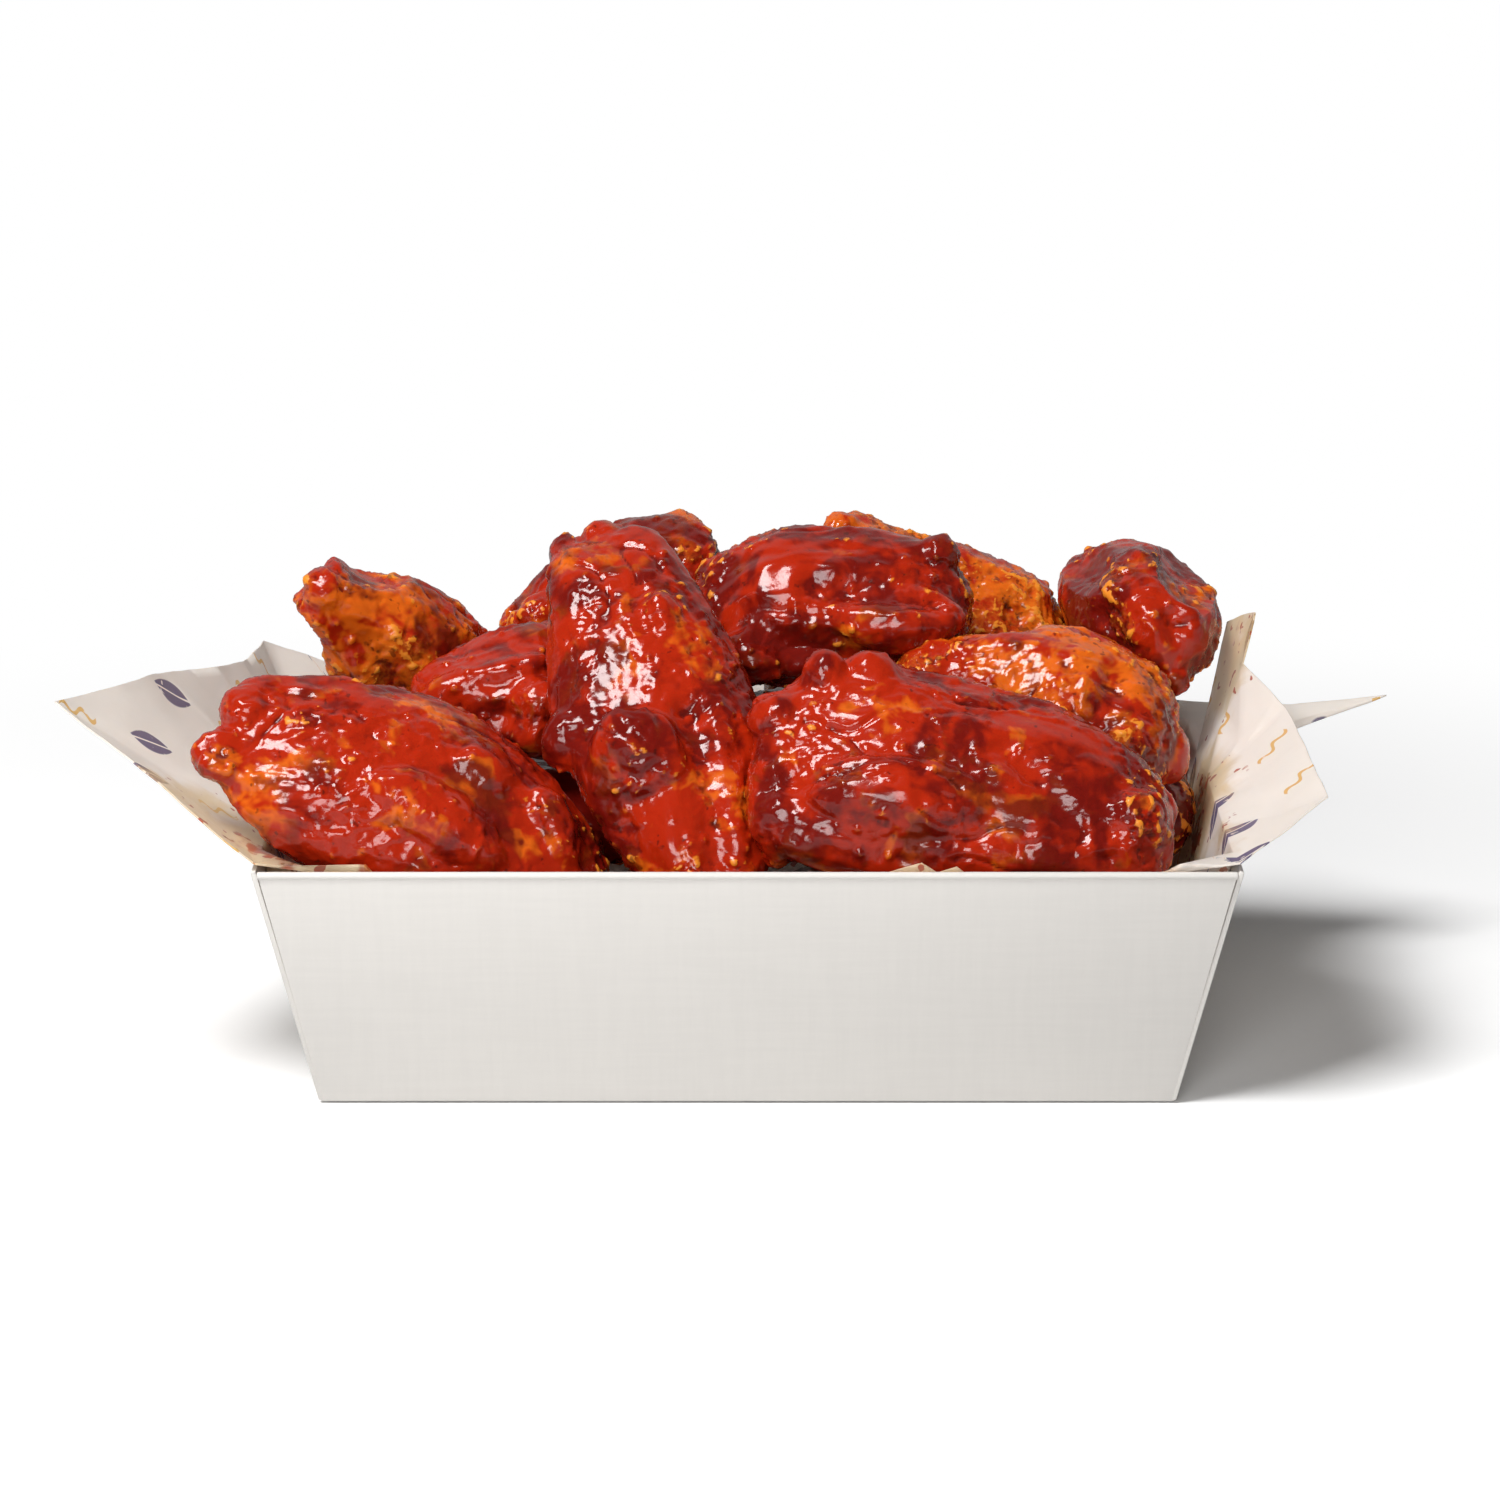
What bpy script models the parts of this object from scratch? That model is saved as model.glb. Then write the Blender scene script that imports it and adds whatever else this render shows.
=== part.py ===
"""Sauced chicken wings heaped in a paper-lined card tray. Metres, +Z up.

The origin is the centre of the tray's underside, +X runs along the tray and +Y to its back.
The wings whose whole shape shows keep it, and the rest give way where those press on them.
"""

import math
import random

import bmesh
import bpy
from mathutils import Matrix, Vector

MM = 0.001

# Card tray: four leaning walls folded up from one blank.
RIM_LENGTH = 196 * MM
RIM_WIDTH = 130 * MM
TRAY_HEIGHT = 51 * MM
WALL_LEAN = math.radians(12.8)
CARD = 1.0 * MM
FOLD_RADIUS = 1.2 * MM

# Greaseproof liner: one sheet pressed into the tray, its ends standing out over the rim.
PAPER = 0.35 * MM
PAPER_CORNER = 9 * MM
STATIONS_PER_SIDE = 11
RIM_CLEAR = 1.6 * MM

# Clearances between pieces that touch, and how far the heap may lean out for each unit of
# height above the rim.
GAP = 0.4 * MM
PRESS_GAP = 1.2 * MM
PRESS_PASSES = 3
HEAP_FLARE = 0.7

# Wing lofts: points round a section, and how far a level of subdivision draws a section in.
SECTION_POINTS = 8
CAGE_GROWTH = 1.1

# Colours of the finishes, linear.
BOARD_WHITE = (0.80, 0.78, 0.74, 1.0)
PAPER_CREAM = (0.88, 0.80, 0.72, 1.0)
SAUCE_RED = (0.38, 0.035, 0.008, 1.0)

# Sections of the two cuts of wing: place along it, width, thickness and the groove between
# the bones, all as shares of the whole.
FLAT = (
    (0.00, 0.50, 0.44, 0.45),
    (0.09, 0.74, 0.66, 0.34),
    (0.25, 0.90, 0.84, 0.14),
    (0.46, 1.00, 1.00, 0.10),
    (0.68, 0.96, 1.00, 0.08),
    (0.88, 0.70, 0.76, 0.05),
    (1.00, 0.36, 0.40, 0.00),
)
DRUMETTE = (
    (0.00, 0.36, 0.40, 0.20),
    (0.09, 0.56, 0.60, 0.15),
    (0.24, 0.54, 0.58, 0.00),
    (0.45, 0.82, 0.86, 0.00),
    (0.68, 1.00, 1.00, 0.00),
    (0.88, 0.86, 0.86, 0.05),
    (1.00, 0.46, 0.48, 0.00),
)

# Each wing: its cut, heel (the knuckle end), toe, the way its broad face looks, width,
# thickness, side bow, how deep the knuckles are forked, and its lobes. A lobe is where it swells
# along the wing (0 to 1), round it (degrees, 90 on the broad face) and by how much. Lengths are
# in mm. A wing gives way to every wing listed before it.
WINGS = {
    "wing_front_left": (
        FLAT, (-108, -45, 78), (-29, -43, 38), (0.2, -0.75, 0.6), 47, 27, 1, 8,
        ((0.50, 10, 4), (0.04, 0, -5), (0.04, 180, -3), (0.35, 90, 2)),
    ),
    "wing_front_right": (
        FLAT, (-1, -42, 68), (87, -42, 49), (0.05, -0.8, 0.6), 50, 30, 3, 2,
        ((0.26, 0, 5), (0.05, 0, 3), (0.05, 180, 3), (0.8, 60, 2)),
    ),
    "wing_front_centre": (
        FLAT, (-31, 3, 107), (-4, -52, 38), (0.1, -0.75, 0.65), 40, 28, -1, 7,
        ((0.14, 0, -4), (0.55, 0, 2), (0.52, 180, 4), (0.35, 60, 3)),
    ),
    "wing_top_centre": (
        FLAT, (-12, 13, 87.5), (48, 14, 86), (0, -0.6, 0.8), 35, 31, 0, 2,
        ((0.25, 180, 5), (0.8, 30, 5), (0.3, 60, 2)),
    ),
    "wing_right_behind": (
        DRUMETTE, (31, -3, 77), (89, -10, 62), (0.1, -0.5, 0.85), 38, 32, 3, 0,
        ((0.5, 60, 6), (0.85, 180, 4)),
    ),
    "wing_left_behind": (
        FLAT, (-70, -11, 72), (-22, 2, 77), (0, -0.5, 0.8), 28, 24, 0, 2,
        ((0.5, 60, 3), (0.6, 180, 3)),
    ),
    "wing_back_left": (
        DRUMETTE, (-91, 8, 95), (-60, 28, 56), (-0.1, -0.8, 0.5), 36, 30, 2, 3,
        ((0.4, 0, 4), (0.5, 180, 1)),
    ),
    "wing_back_right": (
        FLAT, (78, 58, 84), (90, 11, 79), (0.1, -0.2, 1), 33, 30, 0, 3,
        ((0.4, 90, 3), (0.8, 0, 3)),
    ),
    "wing_top_left": (
        FLAT, (-50, 22, 73), (-7, 36, 97), (-0.2, -0.5, 0.8), 34, 26, 0, 2,
        ((0.9, 0, 2), (0.3, 90, 2)),
    ),
    "wing_top_back": (
        DRUMETTE, (15, 44, 98), (71, 42, 66), (0.2, -0.3, 0.9), 34, 27, 0, 2,
        ((0.6, 90, 2),),
    ),
    "wing_middle_left": (
        FLAT, (-85, 4, 44), (-16, -6, 46), (0, 0.1, 1), 40, 25, 2, 3, ((0.5, 90, 2),),
    ),
    "wing_middle_right": (
        DRUMETTE, (36, 2, 44), (94, 4, 46), (0, -0.1, 1), 38, 26, 0, 2, ((0.7, 90, 2),),
    ),
    "wing_middle_back_left": (
        FLAT, (-86, 49, 39), (-9, 46, 65), (0, 0.3, 1), 34, 27, 0, 3, ((0.7, 90, 4),),
    ),
    "wing_middle_back_right": (
        FLAT, (3, 46, 65), (86, 43, 37), (0, 0.2, 1), 36, 27, 0, 2, ((0.3, 90, 3),),
    ),
    "wing_middle_centre": (
        FLAT, (-24, 20, 56), (46, 13, 55), (0, -0.1, 1), 29, 28, 0, 2, ((0.5, 90, 2),),
    ),
    "wing_floor_left": (
        FLAT, (-63, -45, 17), (-60, 44, 18), (0.1, 0, 1), 40, 27, 2, 3, ((0.5, 0, 2),),
    ),
    "wing_floor_mid_left": (
        DRUMETTE, (-20, 45, 17), (-22, -43, 18), (0, 0.1, 1), 39, 28, -2, 2, ((0.7, 90, 2),),
    ),
    "wing_floor_mid_right": (
        FLAT, (21, -44, 17), (19, 45, 17), (-0.1, 0, 1), 39, 27, 2, 3, ((0.5, 180, 2),),
    ),
    "wing_floor_right": (
        DRUMETTE, (60, 45, 17), (61, -43, 18), (0, 0, 1), 40, 28, 2, 2, ((0.7, 90, 2),),
    ),
}
LOBE_ALONG = 0.16
LOBE_ROUND = math.radians(48)

# The free edge of the liner, anticlockwise from the tray's front left corner: how far round the
# rim (0 to 4, a side each), and where the edge is in mm. A lone number is the height of an edge
# that lies against the wall. Between these places the edge runs straight.
LINER_EDGE = (
    (0.00, (-97, -64, 53)),
    (0.07, 49.5),
    (0.635, 49.5),
    (0.695, 53.3),
    (0.714, 51.0),
    (0.735, 52.5),
    (0.756, 49.5),
    (0.93, 49.5),
    (1.00, (97, -64, 53)),
    (1.20, (116, -46, 62)),
    (1.40, (114, -15, 66)),
    (1.52, (112, 0, 69)),
    (1.62, (104, 12, 76)),
    (1.70, (108, 26, 83)),
    (1.75, (104, 42, 77)),
    (1.79, (104, 43, 57)),
    (1.84, (116, 42, 52.5)),
    (1.88, (140, 54, 58)),
    (1.95, (120, 60, 54.5)),
    (2.00, (98, 65, 54)),
    (2.30, (60, 69, 57)),
    (2.55, (10, 70, 60)),
    (2.75, (-40, 69, 57)),
    (2.94, (-88, 68, 60)),
    (3.08, (-106, 56, 70)),
    (3.25, (-108, 28, 72)),
    (3.52, (-120, -6, 78)),
    (3.76, (-138, -44, 81)),
    (4.00, (-97, -64, 53)),
)


def clear_scene():
    for obj in list(bpy.data.objects):
        bpy.data.objects.remove(obj)
    for collection in list(bpy.data.collections):
        bpy.data.collections.remove(collection)


def new_collection(name):
    collection = bpy.data.collections.new(name)
    bpy.context.scene.collection.children.link(collection)
    return collection


def finish(name, colour, roughness):
    material = bpy.data.materials.new(name)
    material.use_nodes = True
    shader = material.node_tree.nodes["Principled BSDF"]
    shader.inputs["Base Color"].default_value = colour
    shader.inputs["Roughness"].default_value = roughness
    return material


def to_object(name, bm, collection, material=None):
    mesh = bpy.data.meshes.new(name)
    bmesh.ops.recalc_face_normals(bm, faces=bm.faces)
    bm.to_mesh(mesh)
    bm.free()
    if material:
        mesh.materials.append(material)
    obj = bpy.data.objects.new(name, mesh)
    collection.objects.link(obj)
    return obj


def subdivide(obj, levels=1):
    modifier = obj.modifiers.new("soft", "SUBSURF")
    modifier.levels = levels
    modifier.render_levels = levels


def half_sizes(height, inset=0.0):
    """Half the length and width of the tray's outside at a height, drawn in by inset."""
    drop = (TRAY_HEIGHT - height) * math.tan(WALL_LEAN)
    return RIM_LENGTH / 2 - drop - inset, RIM_WIDTH / 2 - drop - inset


def make_tray(collection, material):
    bm = bmesh.new()
    bmesh.ops.create_cube(bm, size=1)
    for vert in bm.verts:
        height = TRAY_HEIGHT if vert.co.z > 0 else 0.0
        half_x, half_y = half_sizes(height)
        vert.co = (math.copysign(half_x, vert.co.x), math.copysign(half_y, vert.co.y), height)
    top = max(bm.faces, key=lambda face: face.calc_center_median().z)
    bmesh.ops.delete(bm, geom=[top], context="FACES_ONLY")
    tray = to_object("card_tray", bm, collection, material)

    folds = tray.modifiers.new("folds", "BEVEL")
    folds.width = FOLD_RADIUS
    folds.segments = 2
    walls = tray.modifiers.new("walls", "SOLIDIFY")
    walls.thickness = CARD
    walls.offset = -1
    walls.use_even_offset = True
    return tray


def rim_point(around, half_x, half_y):
    """A point on a rectangle's outline with cut corners. around is 0 to 4, a side each."""
    side = int(around) % 4
    along = around - int(around)
    corners = ((-1, -1), (1, -1), (1, 1), (-1, 1))
    start = Vector((corners[side][0] * half_x, corners[side][1] * half_y))
    after = corners[(side + 1) % 4]
    end = Vector((after[0] * half_x, after[1] * half_y))
    run = (end - start).normalized() * PAPER_CORNER
    return (start + run).lerp(end - run, along)


def wall_point(around, height):
    """A point of the sheet where it lies against the wall, or stands on in the wall's plane."""
    x, y = rim_point(around, *half_sizes(height, CARD + GAP + PAPER))
    return Vector((x, y, height))


def edge_mark(around, place):
    if isinstance(place, tuple):
        return Vector(place) * MM
    return wall_point(around, place * MM)


def liner_profile(around):
    """The sheet at one place round the tray, from the floor's edge to the free edge."""
    marks = list(zip(LINER_EDGE, LINER_EDGE[1:]))
    (before, start), (after, end) = next(pair for pair in marks if around <= pair[1][0])
    share = (around - before) / (after - before)
    free_edge = edge_mark(before, start).lerp(edge_mark(after, end), share)
    floor = CARD + GAP + PAPER
    standing = not isinstance(start, tuple) and not isinstance(end, tuple)
    if standing:
        return [
            wall_point(around, floor + (free_edge.z - floor) * share)
            for share in (0.0, 0.5, 0.8, 0.88, 0.94, 1.0)
        ]
    middle = wall_point(around, 0.5 * TRAY_HEIGHT)
    rim = wall_point(around, TRAY_HEIGHT - RIM_CLEAR)
    over_rim = wall_point(around, TRAY_HEIGHT + RIM_CLEAR)
    halfway = over_rim.lerp(free_edge, 0.5)
    halfway.z -= 0.05 * (free_edge - over_rim).length
    halfway.z = max(halfway.z, over_rim.z)
    return [wall_point(around, floor), middle, rim, over_rim, halfway, free_edge]


def make_liner(collection, material):
    """The sheet as a loft of profiles round the tray, closed by a floor."""
    bm = bmesh.new()
    steps = {side + step / STATIONS_PER_SIDE for side in range(4) for step in range(STATIONS_PER_SIDE)}
    marks = sorted({mark for mark, _ in LINER_EDGE[:-1]} | {side + 0.985 for side in range(4)})
    stations = marks + [s for s in steps if min(abs(s - mark) for mark in marks) > 0.018]
    rows = [[bm.verts.new(point) for point in liner_profile(mark)] for mark in sorted(stations)]
    for row, after in zip(rows, rows[1:] + rows[:1]):
        for k in range(len(row) - 1):
            bm.faces.new((row[k], after[k], after[k + 1], row[k + 1]))
    bm.faces.new([row[0] for row in reversed(rows)])
    liner = to_object("paper_liner", bm, collection, material)
    sheet = liner.modifiers.new("sheet", "SOLIDIFY")
    sheet.thickness = PAPER
    sheet.offset = 0
    return liner


def make_hollow(collection):
    """A guide: the room that the wings have inside the liner, opening out above the rim."""
    bm = bmesh.new()
    inset = CARD + GAP + 2 * PAPER
    rings = []
    mouth = TRAY_HEIGHT + RIM_CLEAR
    for height in (inset, mouth, 3 * mouth):
        half_x, half_y = half_sizes(min(height, mouth), inset)
        flare = HEAP_FLARE * max(0.0, height - mouth)
        corners = [side + end for side in range(4) for end in (0.0, 0.999)]
        outline = [rim_point(corner, half_x + flare, half_y + flare) for corner in corners]
        rings.append([bm.verts.new((x, y, height)) for x, y in outline])
    for ring, after in zip(rings, rings[1:]):
        for k in range(len(ring)):
            j = (k + 1) % len(ring)
            bm.faces.new((ring[k], ring[j], after[j], after[k]))
    bm.faces.new(rings[0][::-1])
    bm.faces.new(rings[-1])
    hollow = to_object("hollow", bm, collection)
    hollow.hide_render = True
    hollow.display_type = "WIRE"
    return hollow


def swell(lobes, place, angle):
    """How far the lobes push out a point of a section, in metres."""
    total = 0.0
    for at, clock, out in lobes:
        turn = abs((angle - math.radians(clock) + math.pi) % (2 * math.pi) - math.pi)
        total += out * MM * math.exp(-((place - at) / LOBE_ALONG) ** 2 - (turn / LOBE_ROUND) ** 2)
    return total


def wing_cage(cut, length, width, thickness, bow, fork, lobes, chance):
    """A loft of sections along +X, broad in Y and thin in Z, from the heel at the origin."""
    bm = bmesh.new()
    rings = []
    for place, wide, thick, groove in cut:
        half_w = CAGE_GROWTH * wide * width / 2 * chance.uniform(0.95, 1.05)
        half_t = CAGE_GROWTH * thick * thickness / 2 * chance.uniform(0.95, 1.05)
        drift = bow * 4 * place * (1 - place) + chance.uniform(-0.02, 0.02) * width
        ring = []
        for k in range(SECTION_POINTS):
            angle = 2 * math.pi * k / SECTION_POINTS
            across = math.cos(angle)
            over = math.sin(angle)
            uneven = chance.uniform(0.96, 1.04)
            out = swell(lobes, place, angle)
            notch = fork * over**4 * max(0.0, 1 - place / 0.12)
            y = drift + (half_w * uneven + out) * across
            z = (half_t * uneven * (1 - groove * over**4) + out) * over
            ring.append(bm.verts.new((place * length + notch, y, z)))
        rings.append(ring)
    for ring, after in zip(rings, rings[1:]):
        for k in range(SECTION_POINTS):
            j = (k + 1) % SECTION_POINTS
            bm.faces.new((ring[k], ring[j], after[j], after[k]))
    bm.faces.new(rings[0][::-1])
    bm.faces.new(rings[-1])
    return bm


def make_wing(name, shape, collection, material):
    """One wing, laid from its heel to its toe with its broad face looking the way given."""
    cut, heel, toe, face, width, thickness, bow, fork, lobes = shape
    start = Vector(heel) * MM
    along = Vector(toe) * MM - start
    chance = random.Random(name)
    bm = wing_cage(
        cut, along.length, width * MM, thickness * MM, bow * MM, fork * MM, lobes, chance
    )
    wing = to_object(name, bm, collection, material)
    wing.data.shade_smooth()
    axis_x = along.normalized()
    axis_y = Vector(face).cross(axis_x).normalized()
    turn = Matrix((axis_x, axis_y, axis_x.cross(axis_y))).transposed()
    wing.matrix_world = Matrix.Translation(start) @ turn.to_4x4()
    subdivide(wing)
    return wing


def world_box(obj):
    graph = bpy.context.evaluated_depsgraph_get()
    corners = [obj.matrix_world @ Vector(c) for c in obj.evaluated_get(graph).bound_box]
    low = [min(c[i] for c in corners) for i in range(3)]
    high = [max(c[i] for c in corners) for i in range(3)]
    return low, high


def boxes_meet(first, second):
    return all(
        first[0][i] < second[1][i] + PRESS_GAP and second[0][i] < first[1][i] + PRESS_GAP
        for i in range(3)
    )


def keep(wing, target, mode, offset):
    modifier = wing.modifiers.new(mode.lower() + "_" + target.name, "SHRINKWRAP")
    modifier.target = target
    modifier.wrap_method = "NEAREST_SURFACEPOINT"
    modifier.wrap_mode = mode
    modifier.offset = offset


def press_together(wings, hollow):
    """Each wing stays in the tray's room and gives way to every wing listed before it."""
    for number, wing in enumerate(wings):
        keep(wing, hollow, "INSIDE", GAP)
        bpy.context.view_layer.update()
        box = world_box(wing)
        firm = [other for other in wings[:number] if boxes_meet(box, world_box(other))]
        for other in firm * PRESS_PASSES:
            keep(wing, other, "OUTSIDE", PRESS_GAP)


def main():
    clear_scene()
    serving = new_collection("chicken_wings_serving")
    guides = new_collection("guides")
    board = finish("white_board", BOARD_WHITE, 0.6)
    paper = finish("greaseproof_paper", PAPER_CREAM, 0.7)
    sauce = finish("sauced_wing", SAUCE_RED, 0.2)

    make_tray(serving, board)
    make_liner(serving, paper)
    hollow = make_hollow(guides)
    wings = [make_wing(name, shape, serving, sauce) for name, shape in WINGS.items()]
    press_together(wings, hollow)


main()
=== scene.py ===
"""Sauced chicken wings heaped in a card tray with a printed greaseproof liner.

The tray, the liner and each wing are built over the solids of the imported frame, in metres.
"""

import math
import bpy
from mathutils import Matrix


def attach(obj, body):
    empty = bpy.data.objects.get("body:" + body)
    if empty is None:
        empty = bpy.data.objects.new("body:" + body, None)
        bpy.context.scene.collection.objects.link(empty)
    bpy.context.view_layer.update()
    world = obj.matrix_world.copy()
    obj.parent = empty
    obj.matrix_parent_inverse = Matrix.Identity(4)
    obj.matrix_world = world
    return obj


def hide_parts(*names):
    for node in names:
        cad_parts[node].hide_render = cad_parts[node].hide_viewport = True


bl_info = {
    "name": "Chicken Wings Serving",
    "version": (1, 0, 0),
    "blender": (4, 5, 0),
    "location": "3D View > Sidebar > Wings",
    "description": "Builds a tray of sauced chicken wings with its paper liner",
    "category": "Add Mesh",
}

import bpy
import numpy as np
from bpy.props import FloatProperty, FloatVectorProperty, PointerProperty
from mathutils import Matrix, Vector
from mathutils.bvhtree import BVHTree

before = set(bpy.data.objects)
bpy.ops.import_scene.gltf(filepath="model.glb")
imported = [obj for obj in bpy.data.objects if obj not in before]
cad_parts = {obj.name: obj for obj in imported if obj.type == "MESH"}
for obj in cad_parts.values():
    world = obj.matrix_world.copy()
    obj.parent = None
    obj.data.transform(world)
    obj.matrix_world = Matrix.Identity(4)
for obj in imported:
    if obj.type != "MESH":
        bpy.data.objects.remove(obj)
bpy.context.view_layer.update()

MM = 0.001

# The tray: rim length and width, height, lean of its walls, thickness of its folded card and
# radius of its rolled top edges.
RIM_LENGTH, RIM_WIDTH, TRAY_HEIGHT = 196 * MM, 130 * MM, 51.2 * MM
WALL_LEAN = math.radians(12.8)
WALL = 1.1 * MM
ROLL = 0.75 * MM

# How each wing is finished: how craggy its crust is, how much sauce lies on it (mm), how dark
# the glaze is (0 orange to 1 deep red) and the swellings added to it. A swelling is its middle,
# its half sizes and its turn about Y in degrees, in mm.
WING_LOOKS = {
    "wing_front_left": (0.45, 0.3, 0.50, (
        ((-106, -56, 76), (-84, -60, 70)), ((-60, -50, 78), (-42, -62, 52)),
    ), (
        ((-100, -43, 79), (5.5, 6, 4.5), 0), ((-105, -50, 71), (6, 7, 5.5), 20),
        ((-86, -50, 64), (11, 8, 8), 0), ((-62, -53, 58), (18, 7, 8), 35),
        ((-54, -42, 66), (9, 8, 6), 30), ((-38, -44, 53), (5, 7, 11), -25),
    )),
    "wing_front_right": (0.30, 0.5, 0.62, (
        ((4, -52, 66), (20, -56, 74)), ((52, -50, 74), (66, -58, 58)),
    ), (
        ((15, -34, 83.5), (5, 5, 5.5), 0), ((26, -32, 83.5), (6.5, 5, 5), 15),
        ((6, -36, 76), (7, 7, 6), 0), ((47, -36, 73), (24, 6, 5), 21),
        ((30, -52, 62), (20, 7, 10), 10), ((76, -46, 56), (8, 8, 9), 30),
        ((6, -48, 58), (6, 7, 12), 0),
    )),
    "wing_front_centre": (0.45, 0.4, 0.60, (
        ((-12, -36, 76), (-4, -58, 42)), ((-34, -14, 92), (-26, -30, 78)),
    ), (
        ((-38, 2, 101), (4, 5, 4.5), 0), ((-30, 3, 103), (5, 5, 4), 0), ((-23, 0, 96), (6, 7, 8), -20),
        ((-37, -6, 94), (3.5, 4, 3), 0), ((-24, -24, 82), (5.5, 6, 7), 5),
        ((-12, -20, 80), (6, 7, 19), -22), ((-36, -31, 70), (6, 6, 7), 0),
        ((-20, -40, 64), (11, 7, 16), -20),
    )),
    "wing_top_centre": (0.62, 0.45, 0.72, (
        ((14, 0, 96), (38, -2, 92)), ((4, -4, 84), (22, -6, 80)),
    ), (
        ((40, 13, 98), (4.5, 5, 4.5), 0), ((12, 14, 95), (15, 7, 4), -4),
        ((1, -1, 80), (8, 7, 7), 0), ((30, 2, 87), (16, 8, 8), 0),
    )),
    "wing_right_behind": (0.75, 0.1, 0.25, (
        ((52, -20, 74), (60, -22, 62)), ((76, -16, 80), (70, -22, 66)),
    ), (
        ((87, -10, 62), (5, 6, 7), 0), ((58, -4, 82), (18, 8, 5), 0), ((80, -4, 73), (8, 8, 8), 40),
    )),
    "wing_left_behind": (0.25, 0.4, 0.60, (
        ((-60, -20, 72), (-34, -22, 70)), ((-40, -24, 68), (-30, -22, 60)),
    ), (
        ((-55, -13, 78), (15, 4, 3.5), -19), ((-43, -16, 71), (7, 8, 8), 0),
    )),
    "wing_back_left": (0.75, 0.1, 0.15, (
        ((-78, 2, 80), (-70, 8, 66)), ((-64, 14, 76), (-58, 16, 62)),
    ), (
        ((-88, 7, 92), (4.5, 5, 5), 0), ((-74, 13, 78), (8, 7, 10), 30),
    )),
    "wing_back_right": (0.62, 0.3, 0.50, (
        ((90, 10, 86), (92, 4, 70)), ((76, 18, 84), (78, 10, 70)),
    ), (
        ((83, 30, 92), (4, 6, 5), 0), ((95, 24, 78), (5, 8, 6), 0), ((90, 16, 71), (5, 5, 4), 0),
    )),
    "wing_top_left": (0.40, 0.3, 0.30, (
        ((-30, 22, 92), (-22, 20, 80)), ((-48, 12, 80), (-38, 8, 72)),
    ), (
        ((-16, 33, 92), (9, 9, 8), 0), ((-45, 18, 82), (6, 7, 9), 35),
    )),
    "wing_top_back": (0.85, 0.1, 0.20, (
        ((32, 34, 92), (36, 28, 78)), ((58, 30, 84), (64, 26, 72)),
    ), (
        ((20, 41, 98), (5, 5, 4.5), 0), ((26, 40, 96), (3.5, 4, 3.5), 0), ((54, 38, 82), (11, 8, 7), 30),
    )),
}
# Hollows cut from a wing's outline before it swells, each as a swelling is given.
DENTS = {
    "wing_back_right": (((67, 20, 98.5), (12.5, 40, 12.5), 0), ((99, 20, 98.5), (13, 40, 13), 0)),
    "wing_back_left": (((-103, 14, 78), (15.5, 30, 14), 0), ((-73, 14, 105.5), (16, 30, 14.5), 0)),
}
FAR_OFF = ((0, 0, 900), (0, 10, 900))
# The lower layer of wings, seen only in the gaps of the heap: its glaze of 1.25, past the deepest sauce,
# is painted shade that keeps these wings as dark as the shade between the wings above.
SHADED_LOWER_WING = (0.8, 0.3, 1.25, (FAR_OFF, FAR_OFF), ())

# Greaseproof sheet: the spacing of its printed marks and how far from the wings it is stained.
MARK_SPACING = 19 * MM
STAIN_REACH = 18 * MM

# Pimples on the skin for each metre.
PIMPLE_SCALE = 340.0

# The view: what it looks at, how steeply down, from how far, and its lens in mm.
VIEW_AIM = (0.5 * MM, 0, 59.6 * MM)
VIEW_PITCH = math.radians(14.5)
VIEW_DISTANCE = 1.040
VIEW_LENS = 119.5


class Value:
    """A node's socket that ordinary arithmetic works on."""

    def __init__(self, graph, socket):
        self.graph = graph
        self.socket = socket

    def maths(self, operation, *others, clamp=False):
        settings = {"operation": operation, "use_clamp": clamp}
        return self.graph.add("ShaderNodeMath", settings, list((self,) + others))

    def __add__(self, other):
        return self.maths("ADD", other)

    __radd__ = __add__

    def __mul__(self, other):
        return self.maths("MULTIPLY", other)

    __rmul__ = __mul__

    def __sub__(self, other):
        return self.maths("SUBTRACT", other)

    def __rsub__(self, other):
        return self.graph.add("ShaderNodeMath", {"operation": "SUBTRACT"}, [other, self])

    def __truediv__(self, other):
        return self.maths("DIVIDE", other)

    def __abs__(self):
        return self.maths("ABSOLUTE")

    def step(self, low, high):
        """0 below low, 1 above high and smooth between."""
        inputs = {"Value": self, "From Min": low, "From Max": high}
        return self.graph.add("ShaderNodeMapRange", {"interpolation_type": "SMOOTHSTEP"}, inputs)


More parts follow.
